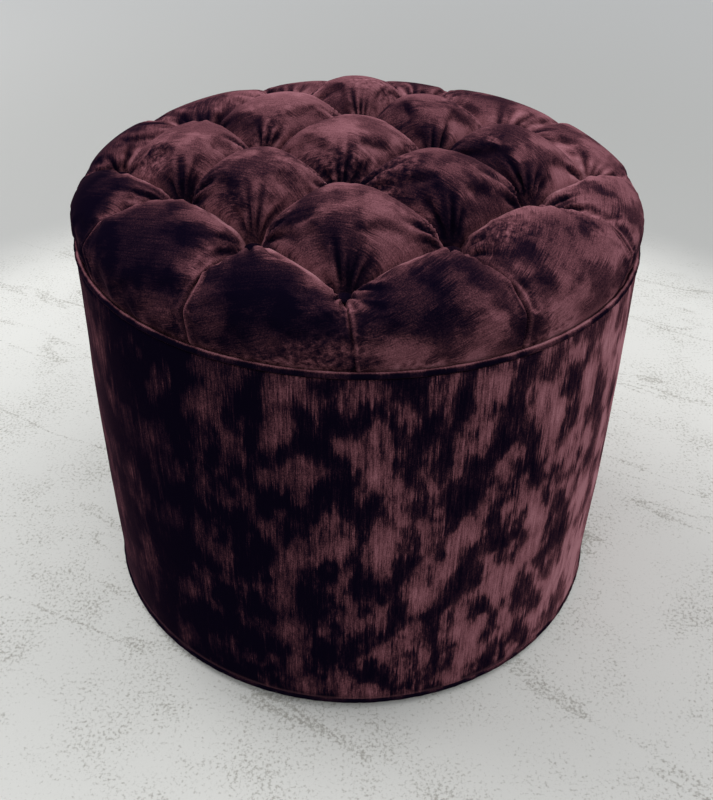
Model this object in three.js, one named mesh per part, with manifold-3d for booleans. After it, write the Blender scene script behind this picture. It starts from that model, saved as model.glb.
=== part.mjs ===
// Round deep-buttoned tuffet: a velvet drum with a diamond-tufted pad on top.
// Millimetres, Z up. The origin is on the floor, under the middle of the drum.

import * as THREE from 'three';
import { mergeVertices } from 'three/addons/utils/BufferGeometryUtils.js';
import Module from 'manifold-3d';

const wasm = await Module();
wasm.setup();

// Driving dimensions of the whole
const drumRadius = 254;
const pipingLevel = 373.5;
const crownRise = 83;
const glideHeight = 6;
const seatGap = 0.3;

// Velvet, wadding and card of the drum
const velvetThickness = 1.5;
const drumWaddingThickness = 6;
const panelThickness = 4;
const drumDrawIn = 4.5;
const drumDrawInDrop = 220;
const tackStripHeight = 12;

// Piping: a round cord in velvet with a flat tongue that is stapled to the frame
const pipingRadius = 2.75;
const topPipingProud = 1;
const basePipingProud = 1.5;
const tongueThickness = 1;
const tongueWidth = 16;

// Frame: two boards, four posts and their screws
const boardThickness = 18;
const baseRingWidth = 92;
const postSide = 40;
const postInset = 46;
const screwShankRadius = 2;
const screwHeadRadius = 4.2;
const screwHeadHeight = 3;
const screwLength = 50;
const screwSink = 0.5;
const cutPast = 0.5;

// Glides and dust cover under the base
const glideRadius = 13;
const glideInset = 27;
const glideChamfer = 1.5;
const glideNailRadius = 1.2;
const glideNailLength = 14;
const dustCoverThickness = 1;

// Pad: its outline in profile, measured from the top piping
const padInset = 7;
const padBulgeRise = 28;
const padFootInset = 4.2;
const shoulderPower = 2.8;
const crownPower = 1.75;
const padWaddingThickness = 8;
const layerGap = 0.5;
const mergeReach = 0.01;

// Tufting: four rows of four buttons, turned so that the cells are diamonds
const buttonRows = 4;
const diamondShare = 0.27;
const pitShare = 0.7;
const foldShare = 0.38;
const puffPower = 2.5;
const foldTurnPower = 12;
const pleatFadePower = 3;

// How far each button stands sideways off the even pattern, by row and column
const buttonDrift = [
  [-9, -11, -6, -8],
  [5, -13, -15, -6],
  [5, -4, 3, 2],
  [0, -8, -14, 0],
];

// Buttons and the twine that holds them
const buttonRadius = 7.5;
const buttonRise = 5;
const buttonShankRadius = 2;
const twineRadius = 1.2;
const twineHoleClearance = 0.5;
const toggleRadius = 7;
const toggleThickness = 2.5;

// How finely round things and puffs are divided
const drumSides = 48;
const smallSides = 10;
const holeSides = 6;
const pipingSteps = 5;
const puffShares = [0, 0.13, 0.5, 0.87, 1];
const rimShares = [0, 0.16, 0.42, 0.66, 0.86, 1];
const footTurnShare = 0.35;
const puffMiddle = 0.5;

// Levels that several pieces share, from the floor up
const underLevel = glideHeight + seatGap;
const baseUnderside = underLevel + dustCoverThickness + seatGap;
const baseTop = baseUnderside + boardThickness;
const basePipingLevel = underLevel + pipingRadius;
const skinBottom = basePipingLevel + pipingRadius + seatGap;
const frameTop = pipingLevel - pipingRadius - seatGap;
const boardUnderside = frameTop - boardThickness;
const padFoot = frameTop + seatGap + tongueThickness + seatGap;

// Radii that several pieces share, from the outside in
const skinInner = drumRadius - velvetThickness;
const panelOuter = skinInner - seatGap - drumWaddingThickness - seatGap;
const panelInner = panelOuter - panelThickness;
const boardRadius = panelInner - seatGap;
const topPipingOuter = drumRadius - drumDrawIn + topPipingProud;
const basePipingOuter = drumRadius + basePipingProud;
const padRadius = drumRadius - padInset;
const diamondHalfWidth = drumRadius * diamondShare;

// Finishes
const finish = (color, roughness, metalness = 0) =>
  new THREE.MeshStandardMaterial({ color, roughness, metalness, flatShading: true });
const velvet = () => finish(0x3a2029, 0.75);
const pipingVelvet = () => finish(0x2c1720, 0.75);
const plywood = () => finish(0xb98f5e, 0.7);
const card = () => finish(0x9a8260, 0.85);
const wadding = () => finish(0xe4e1da, 0.95);
const foam = () => finish(0xd9cf9d, 0.9);
const lining = () => finish(0x1b1b1d, 0.9);
const nylon = () => finish(0x17171a, 0.45);
const steel = () => finish(0xb8bcc0, 0.35, 0.9);
const twineFinish = () => finish(0xcabf9e, 0.9);

const tuffet = new THREE.Group();

// Adds one named piece to a group and hands it back
function addPiece(name, geometry, material, group = tuffet) {
  const piece = new THREE.Mesh(geometry, material);
  piece.name = name;
  group.add(piece);
  return piece;
}

// Turns a profile of [radius, height] points round the Z axis
function turned(profile, sides) {
  const points = profile.map(([radius, height]) => new THREE.Vector2(radius, height));
  const geometry = new THREE.LatheGeometry(points, sides);
  geometry.rotateX(Math.PI / 2);
  return geometry;
}

// Turns a closed profile, for rings and tubes
const turnedRing = (profile, sides = drumSides) => turned([...profile, profile[0]], sides);

// A round pin between two levels
const pin = (radius, bottom, top, sides = smallSides) =>
  turned([[0, bottom], [radius, bottom], [radius, top], [0, top]], sides);

// Makes a solid for cutting from a closed geometry
function solidOf(geometry) {
  const bare = geometry.clone();
  bare.deleteAttribute('normal');
  bare.deleteAttribute('uv');
  const merged = mergeVertices(bare);
  const wound = merged.index.array;
  const kept = [];
  for (let i = 0; i < wound.length; i += 3) {
    const [a, b, c] = [wound[i], wound[i + 1], wound[i + 2]];
    if (a !== b && b !== c && c !== a) kept.push(a, b, c);
  }
  return new wasm.Manifold(new wasm.Mesh({
    numProp: 3,
    vertProperties: new Float32Array(merged.attributes.position.array),
    triVerts: new Uint32Array(kept),
  }));
}

// Cuts a list of geometries out of another
function cut(geometry, cutters) {
  let solid = solidOf(geometry);
  for (const cutter of cutters) solid = solid.subtract(solidOf(cutter));
  const result = solid.getMesh();
  const cutGeometry = new THREE.BufferGeometry();
  cutGeometry.setAttribute('position', new THREE.BufferAttribute(result.vertProperties, 3));
  cutGeometry.setIndex(new THREE.BufferAttribute(result.triVerts, 1));
  return cutGeometry;
}

// Places that repeat round the axis, as [x, y, angle]
function roundTheAxis(count, radius, firstAngle) {
  return Array.from({ length: count }, (_, i) => {
    const angle = firstAngle + (i * 2 * Math.PI) / count;
    return [radius * Math.cos(angle), radius * Math.sin(angle), angle];
  });
}

const corners = ['front_right', 'back_right', 'back_left', 'front_left'];
const sides = ['right', 'back', 'left', 'front'];
const postPlaces = roundTheAxis(corners.length, boardRadius - postInset, -Math.PI / 4);
const glidePlaces = roundTheAxis(sides.length, boardRadius - glideInset, 0);

// Frame screws: countersunk, the same outline plus a clearance for the hole
function screwGeometry(clearance, headTop, direction) {
  const shank = screwShankRadius + clearance;
  const head = screwHeadRadius + clearance;
  const tip = screwLength + clearance;
  const taper = screwLength - screwHeadHeight;
  const outline = [[0, -tip], [shank, -taper], [shank, -screwHeadHeight], [head, 0]];
  if (clearance > 0) outline.push([head, screwSink + cutPast]);
  outline.push([0, outline.at(-1)[1]]);
  const geometry = turned(outline, smallSides);
  if (direction < 0) geometry.rotateX(Math.PI);
  geometry.translate(0, 0, headTop);
  return geometry;
}

const topScrewHead = frameTop - screwSink;
const baseScrewHead = baseUnderside + screwSink;

// The hole for a screw at one of the posts, in the frame's own place
function screwHole(place, headTop, direction) {
  return screwGeometry(seatGap, headTop, direction).translate(place[0], place[1], 0);
}

function addFrame(twineHoles) {
  const boardOutline = [
    [0, boardUnderside], [boardRadius, boardUnderside], [boardRadius, frameTop], [0, frameTop],
  ];
  const topHoles = postPlaces.map((place) => screwHole(place, topScrewHead, 1));
  addPiece('top_board', cut(turned(boardOutline, drumSides), [...topHoles, ...twineHoles]), plywood());

  const ringInner = boardRadius - baseRingWidth;
  const ringOutline = [
    [ringInner, baseUnderside], [boardRadius, baseUnderside],
    [boardRadius, baseTop], [ringInner, baseTop],
  ];
  const baseHoles = postPlaces.map((place) => screwHole(place, baseScrewHead, -1));
  const nailTop = baseUnderside + glideNailLength + seatGap;
  const nailHoles = glidePlaces.map(([x, y]) =>
    pin(glideNailRadius + seatGap, baseUnderside - seatGap, nailTop, smallSides).translate(x, y, 0));
  addPiece('base_ring', cut(turnedRing(ringOutline), [...baseHoles, ...nailHoles]), plywood());

  postPlaces.forEach((place, i) => addPost(place, corners[i]));
}

// A square post between the boards, with a blind hole for a screw at each end
function addPost([x, y, angle], corner) {
  const bottom = baseTop + seatGap;
  const top = boardUnderside - seatGap;
  const block = new THREE.BoxGeometry(postSide, postSide, top - bottom);
  block.translate(0, 0, (top + bottom) / 2);
  const holes = [screwGeometry(seatGap, topScrewHead, 1), screwGeometry(seatGap, baseScrewHead, -1)];
  const group = new THREE.Group();
  group.position.set(x, y, 0);
  group.rotation.z = angle;
  tuffet.add(group);
  addPiece(`post_${corner}`, cut(block, holes), plywood(), group);
  addPiece(`top_screw_${corner}`, screwGeometry(0, topScrewHead, 1), steel(), group);
  addPiece(`base_screw_${corner}`, screwGeometry(0, baseScrewHead, -1), steel(), group);
}

// The drum's wall: bent panel, wadding, tack strip and velvet, each a plain tube.
// The velvet draws in towards the top piping along a parabola.
const tackStripBottom = frameTop - tackStripHeight;
const drumWaddingTop = tackStripBottom - seatGap;
const drawInStart = frameTop - drumDrawInDrop;
const drawInMiddle = (drawInStart + drumWaddingTop) / 2;
const skinLevels = [skinBottom, drawInStart, drawInMiddle, drumWaddingTop, frameTop];

function skinRadius(level) {
  const share = Math.max(0, (level - drawInStart) / drumDrawInDrop);
  return drumRadius - drumDrawIn * share * share;
}

// A tube with an outside that follows the velvet, set in by a depth
function skinTube(depth, levels, insideRadius) {
  const outside = levels.map((level) => [skinRadius(level) - depth, level]);
  const inside = levels.map((level) => [insideRadius(level), level]).reverse();
  return turnedRing([...outside, ...inside]);
}

function addDrum() {
  const panelOutline = [
    [panelInner, baseUnderside], [panelOuter, baseUnderside],
    [panelOuter, frameTop], [panelInner, frameTop],
  ];
  addPiece('drum_panel', turnedRing(panelOutline), card());

  const waddingDepth = velvetThickness + seatGap;
  const waddingLevels = skinLevels.filter((level) => level <= drumWaddingTop);
  const behindWadding = () => panelOuter + seatGap;
  addPiece('drum_wadding', skinTube(waddingDepth, waddingLevels, behindWadding), wadding());

  const stripInner = panelOuter + seatGap;
  const stripOuter = skinRadius(frameTop) - velvetThickness - seatGap;
  const stripOutline = [
    [stripInner, tackStripBottom], [stripOuter, tackStripBottom],
    [stripOuter, frameTop], [stripInner, frameTop],
  ];
  addPiece('tack_strip', turnedRing(stripOutline), card());

  const behindVelvet = (level) => skinRadius(level) - velvetThickness;
  addPiece('drum_cover', skinTube(0, skinLevels, behindVelvet), velvet());
}

// Piping: an arc that starts at the bottom of the cord and ends on top of the tongue
function pipingGeometry(outerRadius, level) {
  const middle = outerRadius - pipingRadius;
  const bottom = level - pipingRadius;
  const tongueMeets = Math.PI + Math.asin((pipingRadius - tongueThickness) / pipingRadius);
  const sweep = tongueMeets + Math.PI / 2;
  const outline = Array.from({ length: pipingSteps + 1 }, (_, i) => {
    const angle = -Math.PI / 2 + (sweep * i) / pipingSteps;
    return [middle + pipingRadius * Math.cos(angle), level + pipingRadius * Math.sin(angle)];
  });
  const tongueInner = middle - tongueWidth;
  outline.push([tongueInner, bottom + tongueThickness], [tongueInner, bottom]);
  return turnedRing(outline);
}

function addPiping() {
  addPiece('top_piping', pipingGeometry(topPipingOuter, pipingLevel), pipingVelvet());
  addPiece('base_piping', pipingGeometry(basePipingOuter, basePipingLevel), pipingVelvet());
}

// Underside: a dust cover inside the tongue of the base piping, and four nail-on glides
function addUnderside() {
  const coverRadius = basePipingOuter - pipingRadius - tongueWidth - seatGap;
  const nailHoles = glidePlaces.map(([x, y]) =>
    pin(glideNailRadius + seatGap, underLevel - seatGap, baseUnderside, smallSides).translate(x, y, 0));
  const disc = pin(coverRadius, underLevel, underLevel + dustCoverThickness, drumSides);
  addPiece('dust_cover', cut(disc, nailHoles), lining());

  const nailTop = baseUnderside + glideNailLength;
  const outline = [
    [0, 0], [glideRadius - glideChamfer, 0], [glideRadius, glideChamfer], [glideRadius, glideHeight],
    [glideNailRadius, glideHeight], [glideNailRadius, nailTop], [0, nailTop],
  ];
  glidePlaces.forEach(([x, y], i) => {
    addPiece(`glide_${sides[i]}`, turned(outline, smallSides), nylon()).position.set(x, y, 0);
  });
}

// Profile of the pad before it is tufted. A turn of 0 is the middle of the crown, a
// quarter circle is the widest ring, and the foot turn takes it down to the piping.
const quarter = Math.PI / 2;
const footTurn = quarter * footTurnShare;
const bulgeLevel = pipingLevel + padBulgeRise;
const crownLevel = pipingLevel + crownRise;

function padProfile(turn) {
  if (turn <= quarter) {
    const share = Math.sin(turn) ** 2;
    const level = bulgeLevel + (crownLevel - bulgeLevel) * (1 - share) ** (1 / crownPower);
    return [padRadius * share ** (1 / shoulderPower), level];
  }
  const share = Math.min(1, (turn - quarter) / footTurn) * quarter;
  const radius = padRadius - padFootInset * (1 - Math.cos(share));
  return [radius, padFoot + (bulgeLevel - padFoot) * (1 - Math.sin(share))];
}

const turnAtRadius = (radius) => Math.asin(Math.min(1, (radius / padRadius) ** (shoulderPower / 2)));

// How near a share across a puff is to its folds: 1 in the fold, 0 in the middle
const nearFold = (share) => 1 - Math.sqrt(1 - Math.abs(2 * share - 1) ** puffPower);

// Depth of the tufting as a share of the pad's height, from the nearness to the two folds
function tuftShare(across, along) {
  const fold = across + along - across * along;
  return foldShare * fold + (pitShare - foldShare) * across * along;
}

// A point of the pad: straight down at the crown, turning inward at the side
function padPoint(angle, turn, share) {
  const [radius, level] = padProfile(turn);
  const depth = share * (level - padFoot);
  const inward = Math.min(1, Math.sin(Math.min(turn, quarter)) ** foldTurnPower);
  const down = 1 - inward;
  const size = Math.hypot(inward, down);
  const set = radius - (depth * inward) / size;
  return new THREE.Vector3(set * Math.cos(angle), set * Math.sin(angle), level - (depth * down) / size);
}

// Buttons by row and column, in plan
const cellSide = diamondHalfWidth * Math.SQRT2;
function buttonPlan(row, column) {
  const along = (row - (buttonRows - 1) / 2) * cellSide;
  const across = (column - (buttonRows - 1) / 2) * cellSide;
  const sideways = (along - across) / Math.SQRT2 + driftAt(row, column);
  return new THREE.Vector2(sideways, (along + across) / Math.SQRT2);
}

// The drift at a place between buttons, shared out from the four round it
function driftAt(row, column) {
  const [low, left] = [row, column].map((place) => Math.min(Math.floor(place), buttonRows - 2));
  const rowDrift = (i) =>
    THREE.MathUtils.lerp(buttonDrift[i][left], buttonDrift[i][left + 1], column - left);
  return THREE.MathUtils.lerp(rowDrift(low), rowDrift(low + 1), row - low);
}

// A point over a diamond cell, from shares along its two sides
function cellPoint(row, column, s, t) {
  const plan = buttonPlan(row + s, column + t);
  const share = tuftShare(nearFold(s), nearFold(t));
  return padPoint(Math.atan2(plan.y, plan.x), turnAtRadius(plan.length()), share);
}

// The buttons round the outside of the rows, in order of angle
function rimButtons() {
  const last = buttonRows - 1;
  const steps = Array.from({ length: last }, (_, i) => i);
  return [
    ...steps.map((i) => buttonPlan(i, 0)),
    ...steps.map((i) => buttonPlan(last, i)),
    ...steps.map((i) => buttonPlan(last - i, last)),
    ...steps.map((i) => buttonPlan(0, last - i)),
  ];
}

const rimPlans = rimButtons();
const rimStep = (2 * Math.PI) / rimPlans.length;
const rimStart = -Math.PI / 2;

// A point over an outer puff: s runs from pleat to pleat, t from the buttons to the foot.
// Each pleat swings to its even place at the foot early on, and then falls straight.
function rimPoint(index, s, t) {
  const plan = rimPlans[index].clone().lerp(rimPlans[(index + 1) % rimPlans.length], s);
  const footAngle = rimStart + (index + s) * rimStep;
  const planAngle = Math.atan2(plan.y, plan.x);
  const turnBack = Math.round((footAngle - planAngle) / (2 * Math.PI)) * 2 * Math.PI;
  const angle = THREE.MathUtils.lerp(planAngle + turnBack, footAngle, 1 - (1 - t) ** 2);
  const turn = THREE.MathUtils.lerp(turnAtRadius(plan.length()), quarter + footTurn, t);
  const pleat = nearFold(s);
  const top = nearFold(Math.min(t, puffMiddle));
  const fade = (1 - t) ** pleatFadePower;
  const fold = pleat * fade + top - pleat * fade * top;
  return padPoint(angle, turn, foldShare * fold + (pitShare - foldShare) * pleat * top);
}

// The tufted surface as patches of quads that share their edges
function tuftedSurface() {
  const positions = [];
  const index = [];
  const addPatch = (pointAt, sShares, tShares) => {
    const first = positions.length / 3;
    for (const s of sShares) for (const t of tShares) positions.push(...pointAt(s, t).toArray());
    const rowLength = tShares.length;
    for (let i = 0; i + 1 < sShares.length; i += 1) {
      for (let j = 0; j + 1 < rowLength; j += 1) {
        const a = first + i * rowLength + j;
        const [b, c, d] = [a + rowLength, a + rowLength + 1, a + 1];
        const lowS = sShares[i] < puffMiddle;
        const lowT = tShares[j] < puffMiddle;
        if (lowS === lowT) index.push(a, b, c, a, c, d);
        else index.push(a, b, d, b, c, d);
      }
    }
  };
  for (let row = 0; row + 1 < buttonRows; row += 1) {
    for (let column = 0; column + 1 < buttonRows; column += 1) {
      addPatch((s, t) => cellPoint(row, column, s, t), puffShares, puffShares);
    }
  }
  rimPlans.forEach((_, i) => addPatch((s, t) => rimPoint(i, t, s), rimShares, puffShares));
  const geometry = new THREE.BufferGeometry();
  geometry.setAttribute('position', new THREE.Float32BufferAttribute(positions, 3));
  geometry.setIndex(index);
  const merged = mergeVertices(geometry, mergeReach);
  merged.computeVertexNormals();
  return merged;
}

const surface = tuftedSurface();

// The surface set in by a depth: along its normals above the bulge, and more and more
// level towards the foot, so that the foot of every layer stands at the same height
function setIn(depth) {
  const points = surface.attributes.position;
  const normals = surface.attributes.normal;
  const normal = new THREE.Vector3();
  return Array.from({ length: points.count }, (_, i) => {
    const point = new THREE.Vector3().fromBufferAttribute(points, i);
    const outward = new THREE.Vector3(point.x, point.y, 0).normalize();
    const share = THREE.MathUtils.clamp((point.z - padFoot) / (bulgeLevel - padFoot), 0, 1);
    normal.fromBufferAttribute(normals, i).lerp(outward, 1 - share).normalize();
    return point.addScaledVector(normal, -depth);
  });
}

// The corners of the foot in order of angle
const footCorners = Array.from({ length: surface.attributes.position.count }, (_, i) => i)
  .filter((i) => surface.attributes.position.getZ(i) - padFoot < mergeReach)
  .sort((a, b) => angleOf(a) - angleOf(b));

function angleOf(i) {
  return Math.atan2(surface.attributes.position.getY(i), surface.attributes.position.getX(i));
}

function closedGeometry(points, index) {
  const geometry = new THREE.BufferGeometry();
  const numbers = points.flatMap((point) => point.toArray());
  geometry.setAttribute('position', new THREE.Float32BufferAttribute(numbers, 3));
  geometry.setIndex(index);
  return geometry;
}

// A tufted sheet between two depths, closed along its foot
function tuftedSheet(outerDepth, innerDepth) {
  const outer = setIn(outerDepth);
  const inner = setIn(innerDepth);
  const shift = outer.length;
  const index = [...surface.index.array];
  for (let i = 0; i < surface.index.count; i += 3) {
    const [a, b, c] = [surface.index.getX(i), surface.index.getX(i + 1), surface.index.getX(i + 2)];
    index.push(a + shift, c + shift, b + shift);
  }
  footCorners.forEach((a, i) => {
    const b = footCorners[(i + 1) % footCorners.length];
    index.push(a, a + shift, b, b, a + shift, b + shift);
  });
  return closedGeometry([...outer, ...inner], index);
}

// A tufted block with a flat underside
function tuftedBlock(outerDepth) {
  const points = setIn(outerDepth);
  const middle = points.length;
  const index = [...surface.index.array];
  footCorners.forEach((a, i) => {
    index.push(a, middle, footCorners[(i + 1) % footCorners.length]);
  });
  return closedGeometry([...points, new THREE.Vector3(0, 0, padFoot)], index);
}

// Where each button pulls the velvet down
function buttonPlaces() {
  const places = [];
  for (let row = 0; row < buttonRows; row += 1) {
    for (let column = 0; column < buttonRows; column += 1) {
      const plan = buttonPlan(row, column);
      places.push(padPoint(Math.atan2(plan.y, plan.x), turnAtRadius(plan.length()), pitShare));
    }
  }
  return places;
}

const pits = buttonPlaces();

// The highest velvet under a round edge over a pit, found by looking straight down
const velvetSheet = new THREE.Mesh(surface, velvet());
function velvetUnder(pit, radius) {
  const down = new THREE.Vector3(0, 0, -1);
  const looks = roundTheAxis(2 * smallSides, radius, 0).map(([x, y]) => {
    const from = new THREE.Vector3(pit.x + x, pit.y + y, crownLevel + crownRise);
    return new THREE.Raycaster(from, down).intersectObject(velvetSheet)[0].point.z;
  });
  return Math.max(...looks);
}

const shankEnd = (pit) => velvetUnder(pit, buttonShankRadius) + seatGap;
const twineHole = (pit) =>
  pin(twineRadius + twineHoleClearance, boardUnderside - seatGap, shankEnd(pit), holeSides)
    .translate(pit.x, pit.y, 0);
const twineHoles = pits.map(twineHole);

function addPad() {
  const waddingDepth = velvetThickness + layerGap;
  const foamDepth = waddingDepth + padWaddingThickness + layerGap;
  const layers = [
    ['foam_pad', tuftedBlock(foamDepth), foam()],
    ['pad_wadding', tuftedSheet(waddingDepth, waddingDepth + padWaddingThickness), wadding()],
    ['pad_cover', tuftedSheet(0, velvetThickness), velvet()],
  ];
  for (const [name, geometry, material] of layers) addPiece(name, cut(geometry, twineHoles), material);
}

// A covered button with its shank, and the twine under it with a toggle below the board
function addButton(pit, number) {
  const back = velvetUnder(pit, buttonRadius) + seatGap;
  const shankBottom = shankEnd(pit);
  const twineEnd = shankBottom - seatGap;
  const domeShares = [[1, 0.35], [0.6, 0.9]];
  const dome = domeShares.map(([out, up]) => [buttonRadius * out, back + buttonRise * up]);
  const buttonOutline = [
    [0, shankBottom], [buttonShankRadius, shankBottom], [buttonShankRadius, back], [buttonRadius, back],
    ...dome, [0, back + buttonRise],
  ];
  const toggleTop = boardUnderside - seatGap;
  const toggleBottom = toggleTop - toggleThickness;
  const twineOutline = [
    [0, toggleBottom], [toggleRadius, toggleBottom], [toggleRadius, toggleTop],
    [twineRadius, toggleTop], [twineRadius, twineEnd], [0, twineEnd],
  ];
  const button = addPiece(`button_${number}`, turned(buttonOutline, smallSides), velvet());
  const twine = addPiece(`twine_${number}`, turned(twineOutline, holeSides), twineFinish());
  for (const piece of [button, twine]) piece.position.set(pit.x, pit.y, 0);
}

addFrame(twineHoles);
addDrum();
addPiping();
addUnderside();
addPad();
pits.forEach((pit, i) => addButton(pit, String(i + 1).padStart(2, '0')));

export default tuffet;
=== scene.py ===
"""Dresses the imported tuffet: crushed velvet over a deep-buttoned pad and a straight drum.

Every new piece is a surface worked out with numpy, in metres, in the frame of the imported
model: Z is up, and the origin is on the floor under the middle of the drum.
"""

import bpy
import numpy as np
from mathutils import Matrix, Vector


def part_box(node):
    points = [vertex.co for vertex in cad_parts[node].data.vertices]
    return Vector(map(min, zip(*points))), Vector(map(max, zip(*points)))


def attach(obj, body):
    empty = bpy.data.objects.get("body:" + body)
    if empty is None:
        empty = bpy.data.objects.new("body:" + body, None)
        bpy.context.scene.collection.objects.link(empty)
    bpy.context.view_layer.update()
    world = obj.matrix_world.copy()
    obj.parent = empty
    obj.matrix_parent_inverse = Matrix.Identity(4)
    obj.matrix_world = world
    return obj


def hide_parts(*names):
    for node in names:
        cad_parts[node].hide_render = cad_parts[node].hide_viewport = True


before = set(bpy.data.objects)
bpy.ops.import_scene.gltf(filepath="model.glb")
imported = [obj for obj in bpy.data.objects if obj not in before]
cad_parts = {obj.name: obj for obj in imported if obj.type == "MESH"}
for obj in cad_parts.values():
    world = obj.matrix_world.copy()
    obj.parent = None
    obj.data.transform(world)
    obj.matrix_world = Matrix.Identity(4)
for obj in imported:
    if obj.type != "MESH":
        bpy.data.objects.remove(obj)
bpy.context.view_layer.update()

MM = 0.001
QUARTER = np.pi / 2
FULL = 2 * np.pi

# Camera, as fitted to the outlines in the photograph
camera_back = 0.790
camera_height = 0.759
camera_pitch = np.radians(36.87)
camera_roll = 0.0154
camera_lens = 42.75
camera_sensor = 36
camera_shift = 0.0022

# Drum and piping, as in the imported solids
drum_radius = 254 * MM
drum_draw_in = 4.5 * MM
draw_in_drop = 220 * MM
velvet_thickness = 1.5 * MM
piping_radius = 2.75 * MM
tongue_thickness = 1 * MM
tongue_width = 16 * MM
top_piping_level = 373.5 * MM
top_piping_outer = drum_radius - drum_draw_in + 1 * MM
base_piping_level = 9.05 * MM
base_piping_outer = drum_radius + 1.5 * MM
skin_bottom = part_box("drum_cover")[0].z
frame_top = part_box("drum_cover")[1].z

# Pad: its outline before it is tufted
pad_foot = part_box("pad_cover")[0].z
pad_radius = 247 * MM
bulge_level = top_piping_level + 28 * MM
crown_level = top_piping_level + 83 * MM
foot_inset = 4.2 * MM
shoulder_power = 2.8
crown_power = 1.75
foot_turn = QUARTER * 0.35

# Tufting. Rows of buttons run back and to the right, and columns back and to the left. The
# drift moves buttons to the right, and a pleat gets shallower by the power of its fade.
button_rows = 4
last_row = button_rows - 1
cell_count = last_row**2
cell_side = drum_radius * 0.27 * np.sqrt(2)
pit_share = 0.7
fold_share = 0.38
puff_power = 2.5
turn_power = 12
pleat_fade = np.array([7, 3.2, 3.4, 3, 3, 3, 3, 3, 3, 3, 3, 3.2])
rim_length = 150 * MM
button_drift = MM * np.array([
    [-9, -11, -6, -8], [5, -13, -15, -6], [5, -4, 3, 2], [0, -8, -14, 0],
])
button_radius = 7.5 * MM
button_rise = 5 * MM
cell_seed = 20
rim_seed = 40
nap_seed = 300
puff_steps = 48
rim_steps = 60

# The way of the light that is painted into the velvet's tone: right, back and up
light_way = (0.40, 0.45, 0.80)


def smooth_step(value, low, high):
    """0 below low, 1 above high, and a smooth cubic between them."""
    share = np.clip((value - low) / (high - low), 0, 1)
    return share * share * (3 - 2 * share)


def mixed(first, second, share):
    """A straight mix of two arrays."""
    return first + (second - first) * share


def hump(value, middle, width):
    """A bell curve: 1 at its middle, and 1/e at a width from it."""
    return np.exp(-(((value - middle) / width) ** 2))


def joined(grids):
    """Merges grids, rows by columns by 3, into one list of points and one of quads. A grid
    faces the side from which its rows and then its columns turn anticlockwise. Points
    within 0.002 mm become one, and the last array tells which one each grid point became."""
    points = np.concatenate([grid.reshape(-1, 3) for grid in grids])
    merge_distance = 2e-6
    off_round_values = 0.37
    keys = np.floor(points / merge_distance + off_round_values).astype(np.int64)
    _, first, place = np.unique(keys, axis=0, return_index=True, return_inverse=True)
    place = place.reshape(-1)
    quads = []
    start = 0
    for grid in grids:
        rows, columns = grid.shape[:2]
        index = start + np.arange(rows * columns).reshape(rows, columns)
        corners = [index[:-1, :-1], index[1:, :-1], index[1:, 1:], index[:-1, 1:]]
        quads.append(np.stack(corners, axis=-1).reshape(-1, 4))
        start += rows * columns
    return points[first], np.concatenate(quads), place


def cut_up(values, grids):
    """Cuts values that follow the points of all the grids back into the grids' shapes."""
    ends = np.cumsum([grid.shape[0] * grid.shape[1] for grid in grids])[:-1]
    parts = zip(np.split(values, ends), grids)
    return [part.reshape(*grid.shape[:2], -1) for part, grid in parts]


def facing(points, quads):
    """Unit normals at the points, from the cross products of the diagonals of the quads."""
    a, b, c, d = (points[quads[:, i]] for i in range(4))
    across = np.cross(c - a, d - b)
    normals = np.zeros_like(points)
    for i in range(4):
        np.add.at(normals, quads[:, i], across)
    return normals / np.maximum(np.linalg.norm(normals, axis=1, keepdims=True), 1e-12)


def piece(name, grids, finish, maps=None, marks=None):
    """Makes a smooth mesh object from grids. maps gives each grid's UV coordinates, and
    marks one number for each of its points; one more mark tells how far the surface faces
    the light, for painted light and shade. A quad that has shrunk to a triangle at a pole
    becomes one."""
    points, quads, place = joined(grids)
    corners = place[quads]
    kept = corners != np.roll(corners, 1, axis=1)
    faces = [face[keep].tolist() for face, keep in zip(corners, kept) if keep.sum() > 2]
    used = kept & (kept.sum(axis=1) > 2)[:, None]
    mesh = bpy.data.meshes.new(name)
    mesh.from_pydata(points.tolist(), [], faces)
    for title, values in (maps or {}).items():
        flat = np.concatenate([value.reshape(-1, 2) for value in values])
        layer = mesh.uv_layers.new(name=title)
        layer.data.foreach_set("uv", flat[quads[used]].reshape(-1).astype(np.float32))
    merged = {"slope": facing(points, place[quads]) @ light_way}
    for title, values in (marks or {}).items():
        merged[title] = np.zeros(len(points))
        merged[title][place] = np.concatenate([value.reshape(-1) for value in values])
    for title, values in merged.items():
        mark = mesh.attributes.new(title, "FLOAT", "POINT")
        mark.data.foreach_set("value", values.astype(np.float32))
    mesh.update()
    mesh.shade_smooth()
    mesh.materials.append(finish)
    made = bpy.data.objects.new(name, mesh)
    bpy.context.scene.collection.objects.link(made)
    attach(made, "root")
    return made


def turned(profile, sides, ripple=None):
    """Carries a profile of radius and height, which runs upwards on its outside, round the
    Z axis, as a grid of sides by points. ripple adds such an array to the radius."""
    angle = np.linspace(0, FULL, sides + 1)[:, None]
    angle[-1] = 0
    radius, level = np.asarray(profile, float).T
    radius = radius + (0 if ripple is None else ripple)
    level = level + 0 * angle
    return np.stack([radius * np.cos(angle), radius * np.sin(angle), level], axis=-1)


def waves(first, second, seed, count, longest, shortest):
    """A sum of sine waves over two coordinates, in random directions, about -1 to 1."""
    chance = np.random.default_rng(seed)
    total = 0
    for length in np.geomspace(longest, shortest, count):
        heading, phase = chance.uniform(0, FULL, 2)
        way = first * np.cos(heading) + second * np.sin(heading)
        total = total + np.sin(FULL * way / length + phase) * (length / longest) ** 0.5
    return total / np.sqrt(count)


# Pad outline and tufting


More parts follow.
